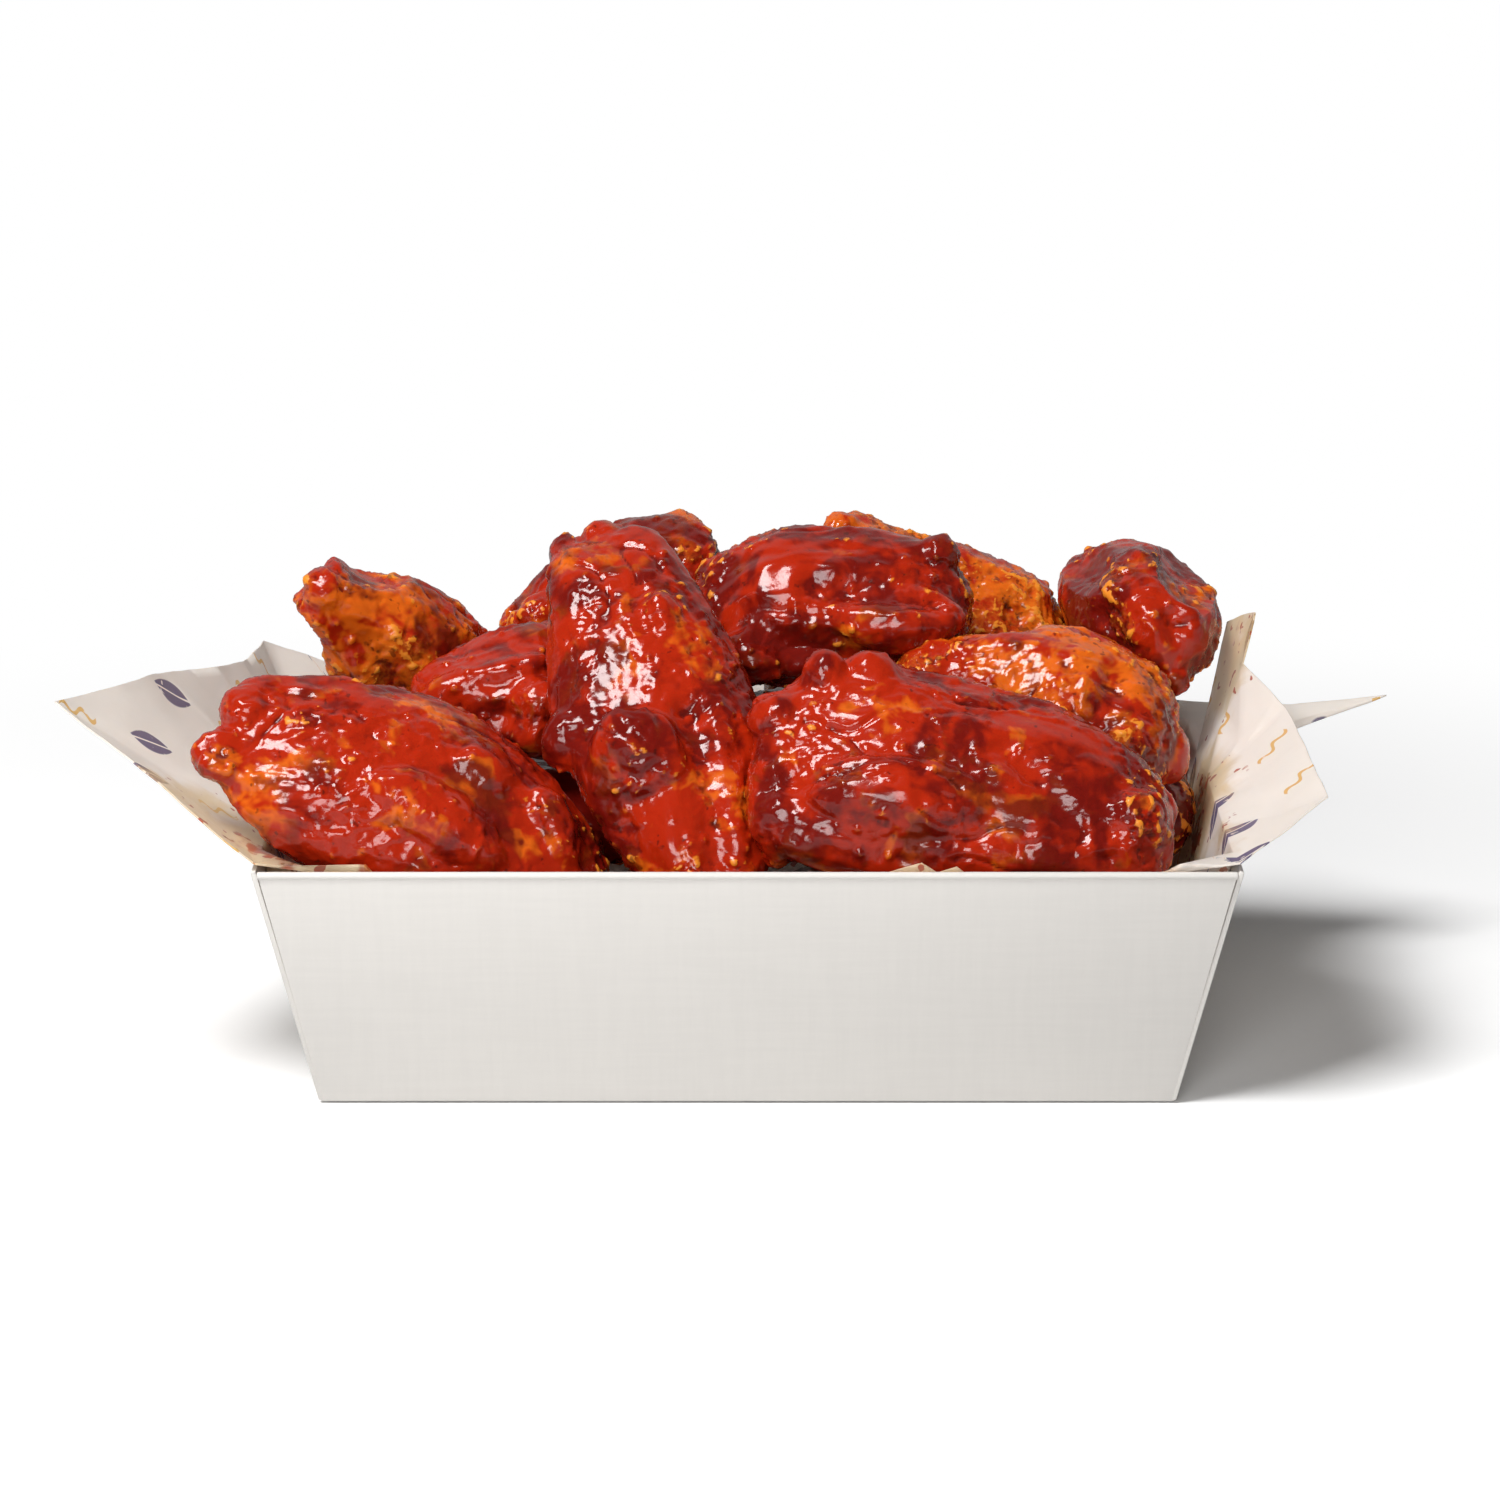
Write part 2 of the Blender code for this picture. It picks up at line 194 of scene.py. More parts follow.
class Graph:
    """A node tree that is filled by one method."""

    def __init__(self, tree):
        self.tree = tree

    def add(self, kind, settings=None, inputs=None, output=0):
        node = self.tree.nodes.new(kind)
        for name, value in (settings or {}).items():
            setattr(node, name, value)
        if isinstance(inputs, list):
            pairs = list(zip(node.inputs, inputs))
        else:
            pairs = [
                (next(s for s in node.inputs if s.name == name and s.enabled), value)
                for name, value in (inputs or {}).items()
            ]
        for socket, value in pairs:
            if isinstance(value, Value):
                self.tree.links.new(value.socket, socket)
            else:
                socket.default_value = value
        live = [socket for socket in node.outputs if socket.enabled]
        return Value(self, live[output]) if live else node

    def noise(self, place, scale, detail=2.0, roughness=0.5, distortion=0.0, output=0):
        inputs = {
            "Vector": place,
            "Scale": scale,
            "Detail": detail,
            "Roughness": roughness,
            "Distortion": distortion,
        }
        return self.add("ShaderNodeTexNoise", None, inputs, output)

    def cells(self, place, scale, feature="F1", output=0):
        settings = {"feature": feature}
        return self.add("ShaderNodeTexVoronoi", settings, {"Vector": place, "Scale": scale}, output)

    def blend(self, first, second, share):
        settings = {"data_type": "RGBA", "clamp_factor": True}
        return self.add("ShaderNodeMix", settings, {"A": first, "B": second, "Factor": share})

    def vector(self, operation, *values, output=0):
        return self.add("ShaderNodeVectorMath", {"operation": operation}, list(values), output)

    def scaled(self, vector, factor):
        return self.add(
            "ShaderNodeVectorMath", {"operation": "SCALE"}, {"Vector": vector, "Scale": factor}
        )

    def part(self, vector, index):
        """One part of a vector: 0 for X, 1 for Y and 2 for Z."""
        return self.add("ShaderNodeSeparateXYZ", None, [vector], index)

    def object_place(self):
        return self.add("ShaderNodeTexCoord", None, None, 3)

    def attribute(self, name):
        """A stored number of the surface, in a material."""
        return self.add("ShaderNodeAttribute", {"attribute_name": name}, None, 2)


# Operators act on the selection, so it is emptied before each piece is begun.


def select_only(*objects):
    bpy.ops.object.select_all(action="DESELECT")
    for obj in objects:
        obj.select_set(True)
    bpy.context.view_layer.objects.active = objects[0]


def edit(obj, action):
    select_only(obj)
    bpy.ops.object.mode_set(mode="EDIT")
    bpy.ops.mesh.select_all(action="SELECT")
    action()
    bpy.ops.object.mode_set(mode="OBJECT")


def apply_modifier(obj, kind, **settings):
    select_only(obj)
    modifier = obj.modifiers.new(kind.lower(), kind)
    for name, value in settings.items():
        setattr(modifier, name, value)
    bpy.ops.object.modifier_apply(modifier=modifier.name)


def apply_graph(obj, group, values):
    """Applies a geometry node group with its inputs set by name."""
    select_only(obj)
    modifier = obj.modifiers.new(group.name, "NODES")
    modifier.node_group = group
    for item in group.interface.items_tree:
        if item.item_type == "SOCKET" and item.in_out == "INPUT" and item.name in values:
            modifier[item.identifier] = values[item.name]
    bpy.ops.object.modifier_apply(modifier=modifier.name)


def settle(obj):
    """Puts the piece's place into its mesh."""
    select_only(obj)
    bpy.ops.object.transform_apply(location=True, rotation=True, scale=True)


def copy_of_node(node, name):
    """A copy of a frame solid with its loose triangles merged."""
    select_only(node)
    bpy.ops.object.duplicate()
    piece = bpy.context.view_layer.objects.active
    piece.name = name
    piece.data.name = name
    edit(piece, lambda: bpy.ops.mesh.remove_doubles(threshold=1e-5))
    return piece


def coordinates(mesh):
    flat = np.empty(len(mesh.vertices) * 3)
    mesh.vertices.foreach_get("co", flat)
    return flat.reshape(-1, 3)


def finish_piece(piece, node_name, material):
    piece.data.materials.clear()
    piece.data.materials.append(material)
    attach(piece, "root")
    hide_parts(node_name)


def new_material(name):
    material = bpy.data.materials.new(name)
    material.use_nodes = True
    tree = material.node_tree
    shader = tree.nodes["Principled BSDF"]
    return material, Graph(tree), shader


def plug(graph, shader, **values):
    for name, value in values.items():
        socket = shader.inputs[name.replace("_", " ")]
        if isinstance(value, Value):
            graph.tree.links.new(value.socket, socket)
        else:
            socket.default_value = value


# Wings.


def crease(graph, place, start, end):
    """1 along the line from start to end and 0 a few millimetres off it."""
    along = graph.vector("SUBTRACT", end, start)
    reach = graph.vector("SUBTRACT", place, start)
    share = graph.vector("DOT_PRODUCT", reach, along) / graph.vector("DOT_PRODUCT", along, along)
    share = share.maths("MAXIMUM", 0.0).maths("MINIMUM", 1.0)
    foot = graph.scaled(along, share)
    return 1.0 - graph.vector("DISTANCE", reach, foot).step(0.5 * MM, 6 * MM)


def relief_group(look):
    """Skin with folds, pimples and broken crust, drowned in sauce up to a wandering level."""
    group = bpy.data.node_groups.new("wing_relief", "GeometryNodeTree")
    sockets = (
        ("Geometry", "NodeSocketGeometry"),
        ("Seed", "NodeSocketFloat"),
        ("Along", "NodeSocketVector"),
        ("Middle", "NodeSocketVector"),
        ("Reach", "NodeSocketFloat"),
        ("Crags", "NodeSocketFloat"),
        ("Sauce", "NodeSocketFloat"),
        ("Glaze", "NodeSocketFloat"),
        ("First Start", "NodeSocketVector"),
        ("First End", "NodeSocketVector"),
        ("Second Start", "NodeSocketVector"),
        ("Second End", "NodeSocketVector"),
    )
    for name, kind in sockets:
        group.interface.new_socket(name, in_out="INPUT", socket_type=kind)
    group.interface.new_socket("Geometry", in_out="OUTPUT", socket_type="NodeSocketGeometry")
    graph = Graph(group)
    source = group.nodes.new("NodeGroupInput")
    given = {s.name: Value(graph, s) for s in source.outputs if s.name}

    place = graph.add("GeometryNodeInputPosition")
    normal = graph.add("GeometryNodeInputNormal")
    seed = graph.add("ShaderNodeCombineXYZ", None, [given["Seed"], given["Seed"] * 1.7, 0.3])
    # Lengthwise distances count for less, so that folds run along the wing.
    run = graph.vector("DOT_PRODUCT", place, given["Along"]) * -0.5
    drawn = graph.scaled(given["Along"], run)
    skin = graph.vector("ADD", graph.vector("ADD", place, drawn), seed)
    spot = graph.vector("ADD", place, seed)

    from_middle = graph.vector("SUBTRACT", place, given["Middle"])
    from_middle = graph.vector("DOT_PRODUCT", from_middle, given["Along"])
    ends = abs(from_middle / given["Reach"]).step(0.62, 0.95)

    lumps = graph.noise(skin, 45.0, 1.0, 0.5, 0.3) - 0.5
    ripples = graph.noise(skin, 115.0, 2.0, 0.5, 0.5) - 0.5
    lines = (1.0 - abs(graph.noise(skin, 58.0, 1.0, 0.4, 0.6) - 0.5) * 22.0).step(0.0, 1.0)
    lines = lines * graph.noise(spot, 40.0, 0.0).step(0.45, 0.62)
    first = crease(graph, place, given["First Start"], given["First End"])
    second = crease(graph, place, given["Second Start"], given["Second End"])
    near = graph.cells(spot, PIMPLE_SCALE)
    chance = graph.part(graph.cells(spot, PIMPLE_SCALE, "F1", 1), 0)
    pimpled = graph.noise(spot, 95.0, 1.0).step(0.36, 0.56)
    pimples = (1.0 - near.step(0.05, 0.5)) * chance.step(0.35, 0.9) * pimpled
    dimpled = graph.noise(spot, 55.0, 1.0).step(0.38, 0.62) * 0.75 + 0.25
    dimples = (graph.noise(spot, 175.0, 3.0, 0.6, 0.9) - 0.5) * dimpled
    broken = graph.noise(spot, 260.0, 3.0, 0.62, 0.6) - 0.4
    craggy = graph.noise(spot, 64.0, 2.0, 0.55, 0.3) + given["Crags"] * 0.3 + ends * 0.22
    craggy = craggy.step(0.66, 0.88)
    fine = graph.noise(spot, 600.0, 2.0, 0.6) - 0.5

    shape = lumps * look.lump_height + ripples * look.ripple_height
    shape = shape - (first.maths("MAXIMUM", second) * 1.6 + lines * 0.35) * look.fold_depth
    crust = shape + pimples * look.pimple_height + craggy * broken * look.crag_height
    crust = crust + dimples * look.dimple_depth + fine * (craggy * 0.8 + 0.35) * (0.9 * MM)
    pools = graph.noise(skin, 80.0, 1.0, 0.5, 0.2) - 0.5
    level = shape + (given["Sauce"] - 0.85) * MM + pools * (4.0 * MM)
    height = crust.maths("SMOOTH_MAX", level, 0.25 * MM) - look.sink
    depth = ((level - crust) / (0.8 * MM)).maths("MAXIMUM", 0.0).maths("MINIMUM", 1.0)
    proud = ((crust - level) / (0.9 * MM)).maths("MAXIMUM", 0.0).maths("MINIMUM", 1.0)
    softened = graph.add(
        "GeometryNodeBlurAttribute", {"data_type": "FLOAT"}, {"Value": height, "Iterations": 16}
    )
    cavity = (softened - height) / (0.4 * MM)

    offset = graph.scaled(normal, height)
    body = given["Geometry"]
    stored = {
        "sauce": depth,
        "crust": proud,
        "cavity": cavity,
        "craggy": craggy,
        "glaze": given["Glaze"],
    }
    settings = {"data_type": "FLOAT", "domain": "POINT"}
    for name, value in stored.items():
        inputs = {"Geometry": body, "Name": name, "Value": value}
        body = graph.add("GeometryNodeStoreNamedAttribute", settings, inputs)
    moved = graph.add("GeometryNodeSetPosition", None, {"Geometry": body, "Offset": offset})
    end = group.nodes.new("NodeGroupOutput")
    group.links.new(moved.socket, end.inputs[0])
    return group


def sauce_material(look):
    material, graph, shader = new_material("sauced_wing")
    place = graph.object_place()
    depth = graph.attribute("sauce")
    crust = graph.attribute("crust")
    cavity = graph.attribute("cavity")
    glaze = graph.attribute("glaze")
    craggy = graph.attribute("craggy")
    mottle = graph.noise(place, 66.0, 3.0, 0.6, 0.5)
    blotch = graph.noise(place, 190.0, 2.0, 0.6, 0.4)
    drift = graph.noise(place, 48.0, 2.0, 0.6, 0.8)
    fine = graph.noise(place, 900.0, 2.0, 0.6)

    raised = (cavity * -1.0).step(0.2, 1.2)
    sunk_sauce_and_shade = cavity.step(0.1, 1.2)
    orange = mottle + (blotch - 0.5) * 0.7 + raised * 0.12 - depth * 0.06 - glaze * 0.30
    orange = orange.step(0.37, 0.53)
    colour = graph.blend(look.red_sauce, look.thin_sauce, orange)
    # Deep sauce comes with the dark mottle, with thick glaze and in hollows. In hollows it is partly sauce
    # pooled there and partly painted shade in the creases. On the lower wings, whose glaze is past 1, it
    # is painted shade.
    dark = drift + (blotch - 0.5) * 0.5 + glaze * 0.28 + sunk_sauce_and_shade * 0.14
    dark = dark.step(0.59, 0.77)
    colour = graph.blend(colour, look.deep_sauce_and_shade, dark * 0.92)
    bare = (craggy + 0.35) * (crust * 0.3 + raised) + (fine - 0.5) * 0.5 - glaze * 0.2
    bare = bare.step(0.22, 0.9)
    colour = graph.blend(colour, look.crust, bare)
    specks = (graph.noise(place, 420.0, 2.0, 0.6) + craggy * 0.08).step(0.66, 0.74)
    colour = graph.blend(colour, look.char, specks * 0.6)
    # Painted shade: near-black char laid into the hollows by their cavity, darkening the creases where
    # shade falls. The specks above are burnt char.
    painted_crease_shade = (cavity + (blotch - 0.5) * 0.8).step(0.5, 1.8)
    colour = graph.blend(colour, look.char, painted_crease_shade * 0.85)
    rough = 0.15 + bare * 0.25 + (mottle - 0.5) * 0.12
    bump = graph.add("ShaderNodeBump", None, {"Strength": 0.18, "Distance": 0.2 * MM, "Height": fine})
    plug(
        graph, shader,
        Base_Color=colour,
        Roughness=rough,
        Coat_Weight=0.12 - bare * 0.08,
        Coat_Roughness=0.08,
        Coat_IOR=1.4,
        Specular_IOR_Level=0.36,
        Subsurface_Weight=0.1,
        Subsurface_Radius=(1.0, 0.25, 0.1),
        Subsurface_Scale=2 * MM,
        Normal=bump,
    )
    return material


def add_swelling(middle, half_sizes, turn):
    bpy.ops.object.select_all(action="DESELECT")
    bpy.ops.mesh.primitive_uv_sphere_add(
        segments=20,
        ring_count=12,
        radius=MM,
        location=Vector(middle) * MM,
        rotation=(0, math.radians(turn), 0),
        scale=half_sizes,
    )
    swelling = bpy.context.view_layer.objects.active
    settle(swelling)
    return swelling


def build_wing(node_name, number, group, material, look):
    crags, sauce, glaze, creases, swellings = WING_LOOKS.get(node_name, SHADED_LOWER_WING)
    piece = copy_of_node(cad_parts[node_name], "sauced_" + node_name)
    for dent in DENTS.get(node_name, ()):
        cutter = add_swelling(*dent)
        apply_modifier(piece, "BOOLEAN", operation="DIFFERENCE", solver="EXACT", object=cutter)
        bpy.data.objects.remove(cutter)
    added = [add_swelling(*swelling) for swelling in swellings]
    if added:
        select_only(piece, *added)
        bpy.ops.object.join()
    points = coordinates(piece.data)
    spread = points - points.mean(axis=0)
    along = np.linalg.svd(spread, full_matrices=False)[2][0]
    reach = float(np.abs(spread @ along).max())

    grain = look.grain if node_name in WING_LOOKS else look.lower_grain
    piece.data.remesh_voxel_size = grain * 1.0
    select_only(piece)
    bpy.ops.object.voxel_remesh()
    apply_modifier(piece, "SMOOTH", factor=0.6, iterations=20)
    values = {
        "Seed": 0.37 * number,
        "Along": [float(part) for part in along],
        "Middle": [float(part) for part in points.mean(axis=0)],
        "Reach": reach,
        "Crags": crags,
        "Sauce": sauce,
        "Glaze": glaze,
    }
    for name, (start, end) in zip(("First", "Second"), creases):
        values[name + " Start"] = [part * MM for part in start]
        values[name + " End"] = [part * MM for part in end]
    apply_graph(piece, group, values)
    select_only(piece)
    bpy.ops.object.shade_smooth()
    finish_piece(piece, node_name, material)
    return piece


# Tray.


def board_material(look):
    material, graph, shader = new_material("white_board")
    place = graph.object_place()
    stretch = graph.add("ShaderNodeMapping", None, {"Vector": place, "Scale": (60.0, 60.0, 900.0)})
    fibres = graph.noise(stretch, 1.0, 3.0, 0.6)
    across = graph.add("ShaderNodeMapping", None, {"Vector": place, "Scale": (700.0, 60.0, 60.0)})
    weave = graph.noise(across, 1.0, 3.0, 0.6)
    tone = (fibres + weave - 0.7).step(0.0, 0.6)
    shaded = tuple(part * 0.975 for part in look.board[:3]) + (1.0,)
    bump = graph.add("ShaderNodeBump", None, {"Strength": 0.05, "Distance": 0.1 * MM, "Height": fibres})
    plug(graph, shader, Base_Color=graph.blend(shaded, look.board, tone), Roughness=0.62, Normal=bump)
    return material


def add_wall(name, length, foot_length, turn, reach):
    """A leaning wall of folded card. reach is from the tray's middle to the wall's foot."""
    bpy.ops.object.select_all(action="DESELECT")
    slant = (TRAY_HEIGHT - 0.4 * MM) / math.cos(WALL_LEAN)
    bpy.ops.mesh.primitive_cube_add(size=1, location=(0, 0, 0), scale=(length, WALL, slant))
    wall = bpy.context.view_layer.objects.active
    wall.name = name
    settle(wall)
    mesh = wall.data
    bpy.ops.object.mode_set(mode="EDIT")
    bpy.ops.mesh.select_all(action="DESELECT")
    bpy.ops.object.mode_set(mode="OBJECT")
    for vert in mesh.vertices:
        vert.select = vert.co.z < 0
    for polygon in mesh.polygons:
        polygon.select = polygon.center.z < -0.4 * slant
    bpy.ops.object.mode_set(mode="EDIT")
    bpy.ops.transform.resize(value=(foot_length / length, 1, 1))
    bpy.ops.object.mode_set(mode="OBJECT")
    mesh.transform(Matrix.Translation((0, WALL / 2, slant / 2)))
    mesh.transform(Matrix.Rotation(WALL_LEAN, 4, "X"))
    mesh.transform(Matrix.Translation((0, -reach, 0.4 * MM)))
    mesh.transform(Matrix.Rotation(turn, 4, "Z"))
    apply_modifier(wall, "BEVEL", width=0.3 * MM, segments=2)
    return wall


def add_rolled_edge(half_length, side):
    """The folded top edge of a long wall, a slim rounded bar."""
    bpy.ops.object.select_all(action="DESELECT")
    bpy.ops.mesh.primitive_cylinder_add(
        vertices=16,
        radius=ROLL,
        depth=2 * half_length,
        location=(0, side * (RIM_WIDTH / 2 - ROLL), TRAY_HEIGHT - 0.8 * ROLL),
        rotation=(0, math.pi / 2, 0),
    )
    bar = bpy.context.view_layer.objects.active
    settle(bar)
    apply_modifier(bar, "BEVEL", width=0.3 * MM, segments=2)
    return bar


def build_tray(material):
    drop = TRAY_HEIGHT * math.tan(WALL_LEAN)
    foot_x, foot_y = RIM_LENGTH / 2 - drop, RIM_WIDTH / 2 - drop
    half_rim = RIM_LENGTH / 2 - WALL - 0.35 * MM
    pieces = []
    for side, turn in ((-1, 0.0), (1, math.pi)):
        foot = 2 * (foot_x - WALL + 0.3 * MM)
        pieces.append(add_wall("long_wall", 2 * half_rim, foot, turn, foot_y))
        pieces.append(add_rolled_edge(half_rim, side))
    for turn in (math.pi / 2, -math.pi / 2):
        pieces.append(add_wall("end_wall", RIM_WIDTH - 1.4 * MM, 2 * foot_y, turn, foot_x))
    bpy.ops.object.select_all(action="DESELECT")
    bpy.ops.mesh.primitive_cube_add(
        size=1, location=(0, 0, 0.6 * WALL), scale=(2 * foot_x - 0.6 * MM, 2 * foot_y - 0.6 * MM, WALL)
    )
    floor = bpy.context.view_layer.objects.active
    settle(floor)
    apply_modifier(floor, "BEVEL", width=0.4 * MM, segments=2)
    select_only(pieces[0], floor, *pieces[1:])
    bpy.ops.object.join()
    tray = bpy.context.view_layer.objects.active
    tray.name = "folded_tray"
    settle(tray)
    select_only(tray)
    bpy.ops.object.shade_smooth_by_angle(angle=math.radians(35))
    finish_piece(tray, "card_tray", material)
    return tray


# Liner.


def flat_places(points):
    """Where each point lies on the sheet laid flat: the walls and flaps opened outwards."""
    x, y, z = points.T
    lift = np.minimum(z, TRAY_HEIGHT)
    drop = (TRAY_HEIGHT - lift) * math.tan(WALL_LEAN)
    past_x = np.abs(x) - (RIM_LENGTH / 2 - drop)
    past_y = np.abs(y) - (RIM_WIDTH / 2 - drop)
    foot_x = RIM_LENGTH / 2 - TRAY_HEIGHT * math.tan(WALL_LEAN)
    foot_y = RIM_WIDTH / 2 - TRAY_HEIGHT * math.tan(WALL_LEAN)
    over = np.maximum(z - TRAY_HEIGHT, 0)
    slant = lift / math.cos(WALL_LEAN)
    out_x = slant + np.hypot(np.maximum(past_x, 0), over)
    out_y = slant + np.hypot(np.maximum(past_y, 0), over)
    ends = past_x > past_y
    low = z < 3 * MM
    u = np.where(low, x, np.where(ends, np.sign(x) * (foot_x + out_x), x))
    v = np.where(low, y, np.where(ends, y, np.sign(y) * (foot_y + out_y)))
    return np.stack([u, v], axis=1)


def store_nearness(liner):
    """Stores how near the wings each point of the sheet lies: 1 touching, 0 out of reach."""
    points, faces = [], []
    for name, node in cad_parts.items():
        if name.startswith("wing_"):
            first = len(points)
            points += [vert.co.copy() for vert in node.data.vertices]
            faces += [[first + index for index in face.vertices] for face in node.data.polygons]
    heap = BVHTree.FromPolygons(points, faces)
    gaps = [heap.find_nearest(vert.co)[3] for vert in liner.data.vertices]
    nearness = [1 - min(gap / STAIN_REACH, 1) for gap in gaps]
    layer = liner.data.attributes.new("nearness", "FLOAT", "POINT")
    layer.data.foreach_set("value", nearness)


def crinkle_group(look):
    """Both faces of the thin sheet move alike, because the field depends on place alone."""
    group = bpy.data.node_groups.new("paper_crinkle", "GeometryNodeTree")
    group.interface.new_socket("Geometry", in_out="INPUT", socket_type="NodeSocketGeometry")
    group.interface.new_socket("Geometry", in_out="OUTPUT", socket_type="NodeSocketGeometry")
    graph = Graph(group)
    source = group.nodes.new("NodeGroupInput")
    place = graph.add("GeometryNodeInputPosition")
    wave = graph.noise(place, 38.0, 2.0, 0.5, 0.4, output=1)
    facets = graph.cells(place, 62.0, "SMOOTH_F1", output=0)
    sway = graph.vector("SUBTRACT", wave, (0.5, 0.5, 0.5))
    sway = graph.scaled(sway, look.crinkle)
    lift = graph.add("ShaderNodeCombineXYZ", None, [0.0, 0.0, (facets - 0.5) * look.crinkle * 0.5])
    height = graph.part(place, 2)
    free = height.step(TRAY_HEIGHT - 2 * MM, TRAY_HEIGHT + 6 * MM) * 0.85 + 0.15
    total = graph.scaled(graph.vector("ADD", sway, lift), free)
    sheet = Value(graph, source.outputs[0])
    moved = graph.add("GeometryNodeSetPosition", None, {"Geometry": sheet, "Offset": total})
    end = group.nodes.new("NodeGroupOutput")
    group.links.new(moved.socket, end.inputs[0])
    return group


def paper_material(look):
    material, graph, shader = new_material("greaseproof_paper")
    place = graph.object_place()
    sheet = graph.add("ShaderNodeUVMap", {"uv_map": "sheet"})
    laid = {
        "Vector": sheet,
        "Location": (0.35, 0.2, 0),
        "Rotation": (0, 0, math.radians(-32)),
        "Scale": (1 / MARK_SPACING, 1 / MARK_SPACING, 1),
    }
    turned = graph.add("ShaderNodeMapping", None, laid)
    across = graph.part(turned, 0)
    up = graph.part(turned, 1)
    row = up.maths("FLOOR")
    shifted = across + row * 0.5
    column = shifted.maths("FLOOR")
    x = shifted - column - 0.5
    y = up - row - 0.5
    kind = (column + row).maths("MODULO", 2.0).maths("ABSOLUTE").step(0.4, 0.6)
    # A leaf of two arcs with a rib, and a short wave.
    leaf = (0.105 - x * x * 1.15 - abs(y) * 0.62).step(0.0, 0.012)
    rib = (abs(y - x * 0.12) * -1.0 + 0.016).step(0.0, 0.008)
    leaf = leaf * (1.0 - rib)
    curl = (x * 24.0).maths("SINE") * 0.06
    wave = (abs(y - curl) * -1.0 + 0.04).step(0.0, 0.012)
    wave = wave * (0.26 - abs(x)).step(0.0, 0.02)
    worn = graph.noise(place, 500.0, 2.0).step(0.25, 0.38)

    colour = graph.blend(look.paper, look.navy_ink, leaf * (1.0 - kind) * worn * 0.94)
    colour = graph.blend(colour, look.orange_ink, wave * kind * worn * 0.9)
    near = graph.attribute("nearness")
    blot = graph.noise(place, 70.0, 3.0, 0.6, 0.8)
    grease = (near * 1.3 + (blot - 0.5) * 1.6).step(0.32, 0.9)
    colour = graph.blend(colour, look.grease, grease * 0.65)
    sauce = (near + (graph.noise(place, 160.0, 2.0, 0.6) - 0.5) * 1.1).step(0.84, 0.98)
    drops = (graph.noise(place, 230.0, 2.0, 0.6) + near * 0.14).step(0.71, 0.74)
    drops = drops * near.step(0.05, 0.3)
    colour = graph.blend(colour, look.smear, sauce.maths("MAXIMUM", drops) * 0.9)
    bump = graph.add(
        "ShaderNodeBump", None,
        {"Strength": 0.15, "Distance": 0.3 * MM, "Height": graph.noise(place, 260.0, 3.0, 0.6, 0.5)},
    )
    plug(
        graph, shader,
        Base_Color=colour,
        Roughness=0.55 - grease * 0.2 - sauce * 0.15,
        Subsurface_Weight=0.5,
        Subsurface_Radius=(1.0, 0.85, 0.7),
        Subsurface_Scale=4 * MM,
        Normal=bump,
    )
    return material


def build_liner(look, material):
    liner = copy_of_node(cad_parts["paper_liner"], "printed_liner")
    edit(liner, lambda: bpy.ops.mesh.subdivide(number_cuts=5))
    apply_graph(liner, crinkle_group(look), {})
    store_nearness(liner)
    places = flat_places(coordinates(liner.data))
    layer = liner.data.uv_layers.new(name="sheet")
    corners = np.empty(len(liner.data.loops), np.int64)
    liner.data.loops.foreach_get("vertex_index", corners)
    layer.data.foreach_set("uv", places[corners].ravel())
    select_only(liner)
    bpy.ops.object.shade_smooth_by_angle(angle=math.radians(28))
    finish_piece(liner, "paper_liner", material)
    return liner


# Stage.


def add_lamp(name, place, target, size, power):
    bpy.ops.object.light_add(type="AREA", location=place)
    lamp = bpy.context.view_layer.objects.active
    lamp.name = name
    lamp.data.shape = "RECTANGLE"
    lamp.data.size, lamp.data.size_y = size
    lamp.data.energy = power
    lamp.rotation_euler = (Vector(target) - Vector(place)).to_track_quat("-Z", "Y").to_euler()
    return lamp


def mix_shaders(graph, share, first, second):
    return graph.add("ShaderNodeMixShader", None, [share, first, second])


def floor_material():
    """A white floor that spreads into the white backdrop and keeps the shadow near the tray."""
    material, graph, shader = new_material("white_floor")
    plug(graph, shader, Base_Color=(0.7, 0.7, 0.7, 1.0), Roughness=0.9, Specular_IOR_Level=0.1)
    path = graph.tree.nodes.new("ShaderNodeLightPath")
    seen = Value(graph, path.outputs["Is Camera Ray"])
    paper = graph.add("ShaderNodeBsdfDiffuse", None, {"Color": (1.12, 1.12, 1.12, 1.0)})
    glow = graph.add("ShaderNodeEmission", None, {"Color": (1, 1, 1, 1), "Strength": 1.0})
    place = graph.object_place()
    away = graph.vector("LENGTH", place)
    shown = mix_shaders(graph, away.step(0.17, 0.40), paper, glow)
    plain = Value(graph, shader.outputs[0])
    out = next(node for node in graph.tree.nodes if node.type == "OUTPUT_MATERIAL")
    graph.tree.links.new(mix_shaders(graph, seen, plain, shown).socket, out.inputs[0])
    return material


def build_world(look):
    world = bpy.context.scene.world or bpy.data.worlds.new("studio")
    bpy.context.scene.world = world
    world.use_nodes = True
    world.node_tree.nodes.clear()
    graph = Graph(world.node_tree)
    dim = graph.add("ShaderNodeBackground", None, {"Color": (1, 1, 1, 1), "Strength": look.ambient})
    white = graph.add("ShaderNodeBackground", None, {"Color": (1, 1, 1, 1), "Strength": 1.0})
    path = graph.tree.nodes.new("ShaderNodeLightPath")
    rays = ("Is Camera Ray", "Is Glossy Ray", "Is Transmission Ray")
    seen, mirrored, passed = (Value(graph, path.outputs[ray]) for ray in rays)
    heading = graph.add("ShaderNodeTexCoord", None, None, 0)
    behind = graph.part(heading, 1).step(0.1, 0.5)
    share = seen.maths("MAXIMUM", passed.maths("MAXIMUM", mirrored * 0.4) * behind)
    out = world.node_tree.nodes.new("ShaderNodeOutputWorld")
    graph.tree.links.new(mix_shaders(graph, share, dim, white).socket, out.inputs[0])


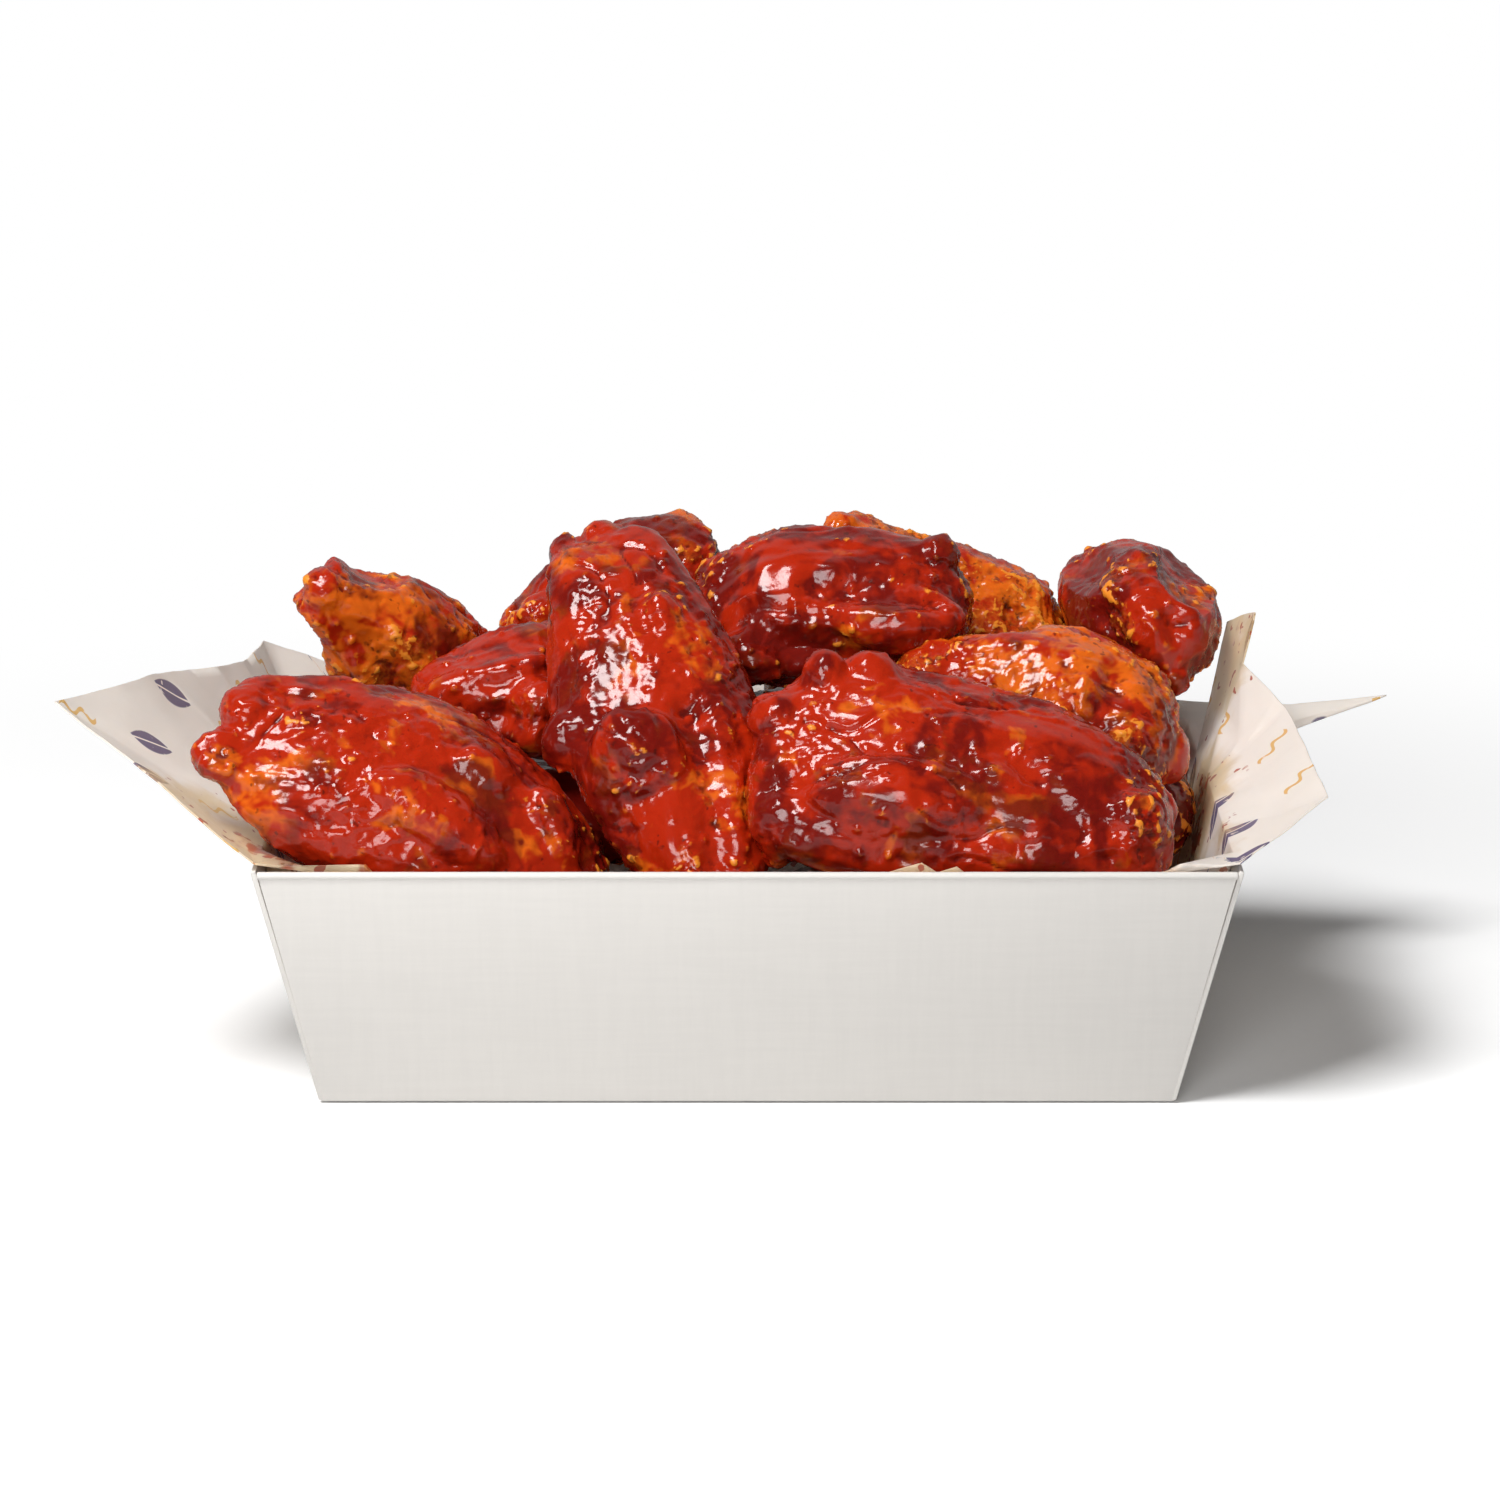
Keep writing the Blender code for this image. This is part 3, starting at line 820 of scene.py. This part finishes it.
def build_stage(look):
    bpy.ops.object.select_all(action="DESELECT")
    bpy.ops.mesh.primitive_plane_add(size=12.0, location=(0, 0, -0.2 * MM))
    floor = bpy.context.view_layer.objects.active
    floor.name = "white_floor"
    floor.data.materials.append(floor_material())
    build_world(look)
    add_lamp("key", (-0.58, -0.66, 1.55), (0, 0, 0.05), (0.66, 0.66), look.key)
    add_lamp("front", (-0.24, -1.58, 0.56), (0, 0, 0.05), (0.62, 0.46), look.front)

    bpy.ops.object.camera_add()
    camera = bpy.context.view_layer.objects.active
    camera.name = "view"
    back = Vector((0, -math.cos(VIEW_PITCH), math.sin(VIEW_PITCH)))
    camera.location = Vector(VIEW_AIM) + VIEW_DISTANCE * back
    camera.rotation_euler = (math.pi / 2 - VIEW_PITCH, 0, 0)
    camera.data.sensor_width = 36.0
    camera.data.lens = VIEW_LENS
    bpy.context.scene.camera = camera
    bpy.context.scene.view_settings.view_transform = "Standard"


def length(name, description, millimetres):
    return FloatProperty(
        name=name, description=description, default=millimetres * MM, unit="LENGTH"
    )


def tint(name, description, linear):
    return FloatVectorProperty(
        name=name, description=description, size=4, subtype="COLOR", default=linear + (1.0,)
    )


class WingsLook(bpy.types.PropertyGroup):
    """Sizes and colours of the serving."""

    grain: length("Grain", "Spacing of a shown wing's points", 0.55)
    lower_grain: length("Lower Grain", "Spacing of a lower wing's points", 0.85)
    lump_height: length("Lumps", "Height of the meat's swellings", 4.5)
    ripple_height: length("Ripples", "Height of the skin's ripples", 2.6)
    fold_depth: length("Folds", "Depth of the skin's folds", 1.5)
    crag_height: length("Crags", "Height of the broken crust", 2.6)
    pimple_height: length("Pimples", "Height of the pimples", 0.7)
    dimple_depth: length("Dimples", "Depth of the skin's dimples", 2.4)
    sink: length("Sink", "Depth the skin starts below the solid", 0.3)
    thin_sauce: tint("Thin Sauce", "Colour of thin sauce", (0.72, 0.125, 0.007))
    red_sauce: tint("Red Sauce", "Colour of the sauce", (0.43, 0.019, 0.003))
    # Deep sauce is pooled sauce, and also the painted shade in hollows and on the lower wings.
    deep_sauce_and_shade: tint("Deep Sauce", "Colour of pooled sauce", (0.15, 0.005, 0.003))
    crust: tint("Crust", "Colour of bare crust", (0.84, 0.27, 0.022))
    # Char colours the burnt specks, and is also the painted shade laid into the creases.
    char: tint("Char", "Colour of the creases", (0.05, 0.006, 0.004))
    board: tint("Board", "Colour of the card", (0.80, 0.77, 0.73))
    crinkle: length("Crinkle", "How far the paper buckles", 2.4)
    paper: tint("Paper", "Colour of the sheet", (1.0, 0.85, 0.72))
    grease: tint("Grease", "Colour of greasy paper", (0.72, 0.42, 0.12))
    smear: tint("Smear", "Colour of sauce on the paper", (0.40, 0.04, 0.01))
    navy_ink: tint("Navy Ink", "Colour of the leaf marks", (0.045, 0.03, 0.13))
    orange_ink: tint("Orange Ink", "Colour of the wave marks", (0.80, 0.36, 0.06))
    ambient: FloatProperty(name="Ambient", description="Strength of the light all round", default=0.07)
    key: FloatProperty(name="Key", description="Power of the lamp above", default=30.0, unit="POWER")
    front: FloatProperty(name="Front", description="Power of the lamp in front", default=9.0, unit="POWER")


class WINGS_OT_tray(bpy.types.Operator):
    """Fold the card tray"""

    bl_idname = "wings.tray"
    bl_label = "Add Tray"

    def execute(self, context):
        build_tray(board_material(context.scene.wings_look))
        return {"FINISHED"}


class WINGS_OT_liner(bpy.types.Operator):
    """Lay the printed greaseproof sheet in the tray"""

    bl_idname = "wings.liner"
    bl_label = "Add Liner"

    def execute(self, context):
        look = context.scene.wings_look
        build_liner(look, paper_material(look))
        return {"FINISHED"}


class WINGS_OT_wings(bpy.types.Operator):
    """Heap the sauced wings"""

    bl_idname = "wings.wings"
    bl_label = "Add Wings"

    def execute(self, context):
        look = context.scene.wings_look
        group = relief_group(look)
        material = sauce_material(look)
        names = sorted(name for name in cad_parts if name.startswith("wing_"))
        for number, name in enumerate(names):
            build_wing(name, number, group, material, look)
        return {"FINISHED"}


class WINGS_OT_stage(bpy.types.Operator):
    """Set the floor, lamps and camera"""

    bl_idname = "wings.stage"
    bl_label = "Add Stage"

    def execute(self, context):
        build_stage(context.scene.wings_look)
        return {"FINISHED"}


class WINGS_PT_panel(bpy.types.Panel):
    """Buttons that build the serving"""

    bl_label = "Chicken Wings"
    bl_idname = "WINGS_PT_panel"
    bl_space_type = "VIEW_3D"
    bl_region_type = "UI"
    bl_category = "Wings"

    def draw(self, context):
        for operator in OPERATORS:
            self.layout.operator(operator.bl_idname)


OPERATORS = (WINGS_OT_tray, WINGS_OT_liner, WINGS_OT_wings, WINGS_OT_stage)
CLASSES = (WingsLook,) + OPERATORS + (WINGS_PT_panel,)


def register():
    for cls in CLASSES:
        bpy.utils.register_class(cls)
    bpy.types.Scene.wings_look = PointerProperty(type=WingsLook)


def unregister():
    del bpy.types.Scene.wings_look
    for cls in reversed(CLASSES):
        bpy.utils.unregister_class(cls)


def main():
    register()
    bpy.ops.wings.tray()
    bpy.ops.wings.liner()
    bpy.ops.wings.wings()
    bpy.ops.wings.stage()


if __name__ == "__main__":
    main()
